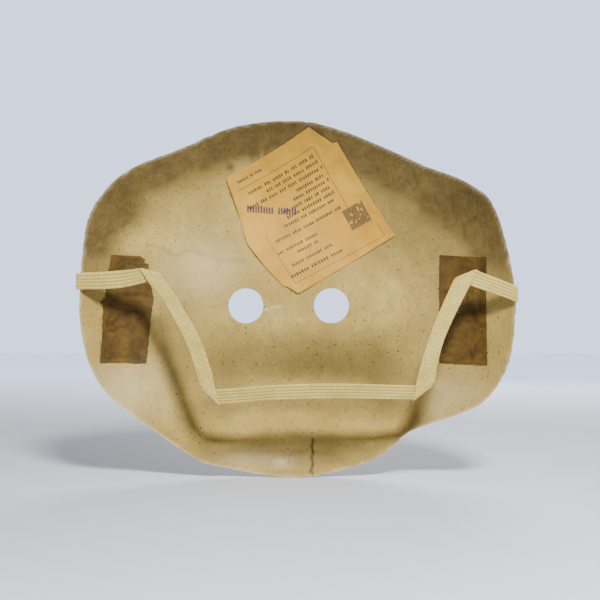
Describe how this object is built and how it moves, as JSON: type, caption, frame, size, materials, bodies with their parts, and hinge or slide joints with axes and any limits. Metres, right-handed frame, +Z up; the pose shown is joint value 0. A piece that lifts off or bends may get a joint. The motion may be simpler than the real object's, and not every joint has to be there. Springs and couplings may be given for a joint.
{
  "type": "carnival mask",
  "caption": "Pressed paper-pulp carnival mask of a dog's head with two eye holes, kraft patches, a glued paper label and a flat elastic band that holds it on the head.",
  "frame": {"origin": "on the inner face of the mask, midway between the two eye holes", "axes": "+X to the wearer's right, which is right in the picture, +Y forward out of the painted front and away from the pictured inner side, +Z up"},
  "size_m": [0.2888, 0.0669, 0.2418],
  "materials": {
    "pulp_board": "matte pressed paper pulp with specks and stains",
    "kraft_paper": "matte brown kraft paper, glued down",
    "label_paper": "matte aged ochre paper",
    "elastic_band": "woven flat elastic"
  },
  "bodies": {
    "mask": {"mask_shell": "pulp_board", "left_patch": "kraft_paper", "right_patch": "kraft_paper", "maker_label": "label_paper", "left_band_end": "elastic_band", "right_band_end": "elastic_band"},
    "band": {"band_loop": "elastic_band"}
  },
  "joints": [
    {"name": "band_swing", "type": "hinge", "parent": "mask", "child": "band", "pos_m": [0.007, -0.0468, 0.0158], "axis": [-0.9995, 0, 0.0315], "range_deg": [0, 95]}
  ]
}
